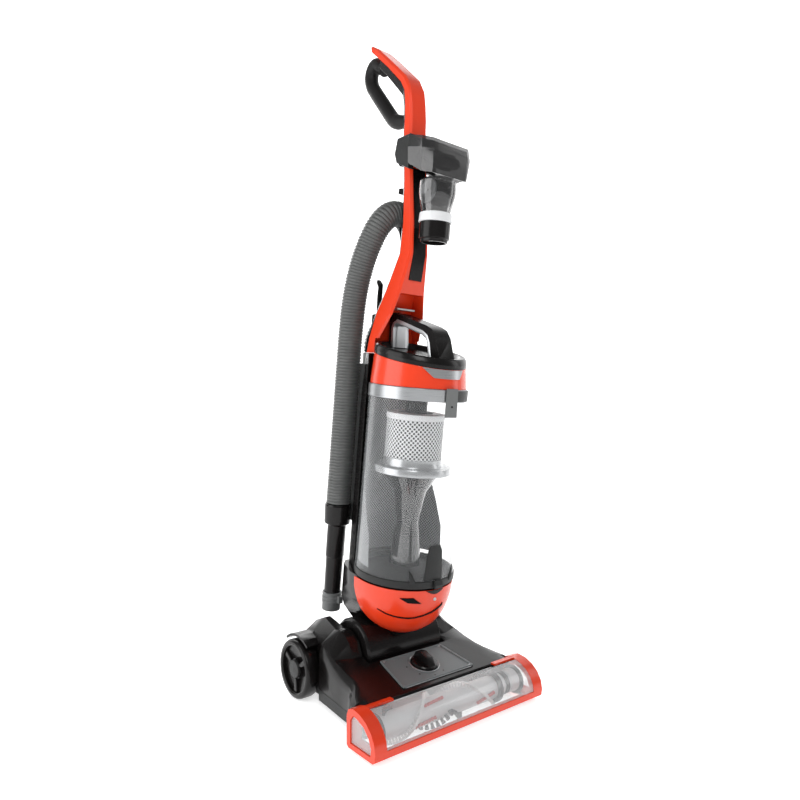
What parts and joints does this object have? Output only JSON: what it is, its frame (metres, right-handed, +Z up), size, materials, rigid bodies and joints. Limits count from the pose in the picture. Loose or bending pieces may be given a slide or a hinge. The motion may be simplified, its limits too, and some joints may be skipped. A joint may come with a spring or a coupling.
{
  "type": "upright vacuum cleaner",
  "caption": "Upright vacuum with a clear-fronted brush nozzle, lift-out cyclone tank, rear hose and wand, and a pet turbo tool on its spine",
  "frame": {"origin": "on the floor, at the middle of the bounding box's bottom, without the hose", "axes": "+Z up, -Y is the front (nozzle), +X is the machine's left-to-right axis seen from behind it, along the wheel and brush axes"},
  "size_m": [0.343, 0.311, 1.1325],
  "materials": {
    "orange_plastic": "glossy moulded",
    "black_plastic": "glossy moulded",
    "dark_plastic": "fine texture",
    "clear_plastic": "clear moulded",
    "smoky_plastic": "smoky clear moulded",
    "silver_plastic": "silver lacquer",
    "grey_plastic": "satin",
    "pale_plastic": "satin",
    "steel": "turned",
    "motor_metal": "turned",
    "rubber": "matt"
  },
  "bodies": {
    "base": {"base_cover": "black_plastic", "chassis": "dark_plastic", "soleplate": "grey_plastic", "nozzle_frame": "orange_plastic", "nozzle_window": "clear_plastic", "end_window_left": "clear_plastic", "end_window_right": "clear_plastic", "brush_cap_left": "grey_plastic", "brush_cap_right": "grey_plastic", "brush_liner": "pale_plastic", "drive_belt": "rubber", "height_panel": "silver_plastic", "axle_left": "steel", "axle_right": "steel"},
    "brush": {"brush_roll": "pale_plastic", "bristle_row_a": "rubber", "bristle_row_b": "rubber"},
    "dial": {"height_dial": "black_plastic"},
    "left_wheel": {"wheel_left": "black_plastic"},
    "right_wheel": {"wheel_right": "black_plastic"},
    "left_roller": {"roller_left": "black_plastic"},
    "right_roller": {"roller_right": "black_plastic"},
    "pedal": {"recline_pedal": "dark_plastic"},
    "upright": {"motor_housing": "black_plastic", "motor": "motor_metal", "exhaust_filter": "pale_plastic", "rear_housing": "black_plastic", "inlet_pipe": "grey_plastic", "hose_holder": "black_plastic", "cord_hook_lower": "black_plastic", "spine_cover": "orange_plastic", "spine_back": "black_plastic", "spine_inlay": "black_plastic", "grip": "rubber", "hose": "grey_plastic", "wand": "black_plastic", "wand_socket": "grey_plastic", "tool_mount": "black_plastic"},
    "rotor": {"motor_shaft": "steel", "fan": "pale_plastic"},
    "hook": {"cord_hook_upper": "black_plastic"},
    "switch": {"power_switch": "dark_plastic"},
    "panel": {"exhaust_panel": "orange_plastic"},
    "release": {"tank_release": "silver_plastic"},
    "tank": {"tank_cup": "clear_plastic", "tank_band": "silver_plastic", "lid_band": "orange_plastic", "tank_lid": "black_plastic", "cyclone_screen": "pale_plastic", "inner_cone": "smoky_plastic", "back_screen": "pale_plastic", "tank_door": "black_plastic"},
    "door_catch": {"door_latch": "dark_plastic"},
    "lid_catch": {"latch_tab": "grey_plastic"},
    "tool": {"tool_shell": "smoky_plastic", "tool_neck": "smoky_plastic", "tool_ring": "pale_plastic", "tool_nozzle": "black_plastic"},
    "tool_roller": {"tool_brush": "rubber"},
    "tool_turbine": {"turbine": "pale_plastic"}
  },
  "joints": [
    {"name": "recline", "type": "hinge", "parent": "base", "child": "upright", "pos_m": [0, 0.04, 0.082], "axis": [-1, 0, 0], "range_deg": [0, 55]},
    {"name": "left_wheel_spin", "type": "hinge", "parent": "base", "child": "left_wheel", "pos_m": [-0.136, 0.1075, 0.048], "axis": [1, 0, 0], "continuous": true},
    {"name": "right_wheel_spin", "type": "hinge", "parent": "base", "child": "right_wheel", "pos_m": [0.136, 0.1075, 0.048], "axis": [1, 0, 0], "continuous": true},
    {"name": "left_roller_spin", "type": "hinge", "parent": "base", "child": "left_roller", "pos_m": [-0.112, -0.062, 0.009], "axis": [1, 0, 0], "continuous": true},
    {"name": "right_roller_spin", "type": "hinge", "parent": "base", "child": "right_roller", "pos_m": [0.112, -0.062, 0.009], "axis": [1, 0, 0], "continuous": true},
    {"name": "brush_spin", "type": "hinge", "parent": "base", "child": "brush", "pos_m": [0, -0.1165, 0.0305], "axis": [1, 0, 0], "continuous": true},
    {"name": "dial_turn", "type": "hinge", "parent": "base", "child": "dial", "pos_m": [0, -0.055, 0.06989], "axis": [0, -0.2167, 0.9762], "range_deg": [0, 144]},
    {"name": "pedal_press", "type": "hinge", "parent": "base", "child": "pedal", "pos_m": [0.1225, 0.1, 0.128], "axis": [-1, 0, 0], "range_deg": [0, 10], "stiffness_Nm_per_rad": 1, "springref_deg": -2.86},
    {"name": "motor_spin", "type": "hinge", "parent": "upright", "child": "rotor", "pos_m": [0, 0.04, 0.082], "axis": [1, 0, 0], "continuous": true},
    {"name": "hook_turn", "type": "hinge", "parent": "upright", "child": "hook", "pos_m": [0, -0.02116, 0.90157], "axis": [0, 0.9924, 0.1233], "range_deg": [0, 180]},
    {"name": "switch_rock", "type": "hinge", "parent": "upright", "child": "switch", "pos_m": [0.03, 0.08251, 0.29976], "axis": [1, 0, 0], "range_deg": [0, 14]},
    {"name": "panel_off", "type": "slide", "parent": "upright", "child": "panel", "axis": [0, -0.9924, -0.1233], "range_m": [0, 0.04]},
    {"name": "tank_release_press", "type": "slide", "parent": "upright", "child": "release", "axis": [0, 0.1233, -0.9924], "range_m": [0, 0.003], "stiffness_N_per_m": 300},
    {"name": "tank_out", "type": "slide", "parent": "upright", "child": "tank", "axis": [0, -0.9924, -0.1233], "range_m": [0, 0.15]},
    {"name": "door_catch_pull", "type": "hinge", "parent": "tank", "child": "door_catch", "pos_m": [0, -0.08613, 0.19881], "axis": [1, 0, 0], "range_deg": [0, 10], "stiffness_Nm_per_rad": 0.05},
    {"name": "lid_catch_pull", "type": "hinge", "parent": "tank", "child": "lid_catch", "pos_m": [0, -0.12451, 0.51186], "axis": [-1, 0, 0], "range_deg": [0, 8], "stiffness_Nm_per_rad": 0.2},
    {"name": "tool_off", "type": "slide", "parent": "upright", "child": "tool", "axis": [0, -0.9924, -0.1233], "range_m": [0, 0.08]},
    {"name": "tool_roller_spin", "type": "hinge", "parent": "tool", "child": "tool_roller", "pos_m": [0.004, -0.0882, 0.88317], "axis": [1, 0, 0], "continuous": true},
    {"name": "turbine_spin", "type": "hinge", "parent": "tool", "child": "tool_turbine", "pos_m": [0, -0.08936, 0.8276], "axis": [1, 0, 0], "continuous": true}
  ],
  "couplings": [
    {"joint": "motor_spin", "follows": "brush_spin", "ratio": 2.0588},
    {"joint": "turbine_spin", "follows": "tool_roller_spin", "ratio": 2.5}
  ]
}
